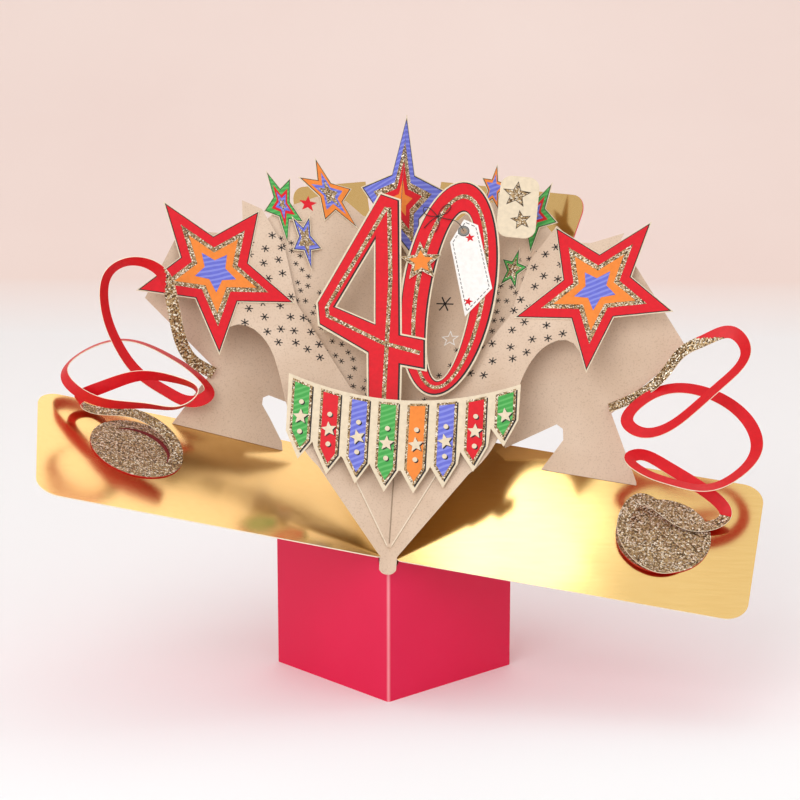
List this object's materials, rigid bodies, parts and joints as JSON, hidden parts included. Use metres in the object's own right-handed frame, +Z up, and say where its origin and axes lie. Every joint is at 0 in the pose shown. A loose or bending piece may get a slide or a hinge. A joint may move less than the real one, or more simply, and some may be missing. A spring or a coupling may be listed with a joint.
{
  "type": "pop up card",
  "caption": "Standing pop up greeting card: a red square paper tube carries gold wings, a kraft fan with stars, block numerals, a pennant banner and curling paper spirals.",
  "frame": {"origin": "on the table, under the middle of the box round the whole card; the tube's axis stands 5.6 mm to its left and 10.8 mm before it", "axes": "+Z up, +Y away from the viewer, +X to the viewer's right; one corner of the tube faces -Y"},
  "size_m": [0.3546, 0.2318, 0.2752],
  "materials": {
    "red_board": "satin red outside, gold foil inside",
    "gold_board": "gold foil over card",
    "kraft_card": "uncoated kraft card with a small black print",
    "red_print": "printed card with a cream margin",
    "green_print": "printed card with a cream margin",
    "orange_print": "printed card with a cream margin",
    "blue_print": "printed card with a cream margin",
    "white_card": "matt white card",
    "cream_card": "matt cream card",
    "spiral_card": "red card, glitter on the other side"
  },
  "bodies": {
    "root": {"base_box": "red_board", "left_wing": "gold_board", "right_wing": "gold_board", "arms": "kraft_card", "front_fold": "kraft_card", "fan": "kraft_card", "left_strut": "kraft_card", "right_strut": "kraft_card", "left_star": "red_print", "right_star": "red_print", "green_star_left": "green_print", "orange_star_left": "orange_print", "blue_star_left": "blue_print", "orange_star_right": "orange_print", "green_star_right": "green_print", "small_star_right": "green_print", "crown_star": "blue_print", "numeral_zero": "red_print", "numeral_four": "red_print", "centre_star": "orange_print", "swing_tag": "white_card", "plaque": "cream_card", "banner": "cream_card", "left_spiral": "spiral_card", "right_spiral": "spiral_card"}
  },
  "joints": []
}
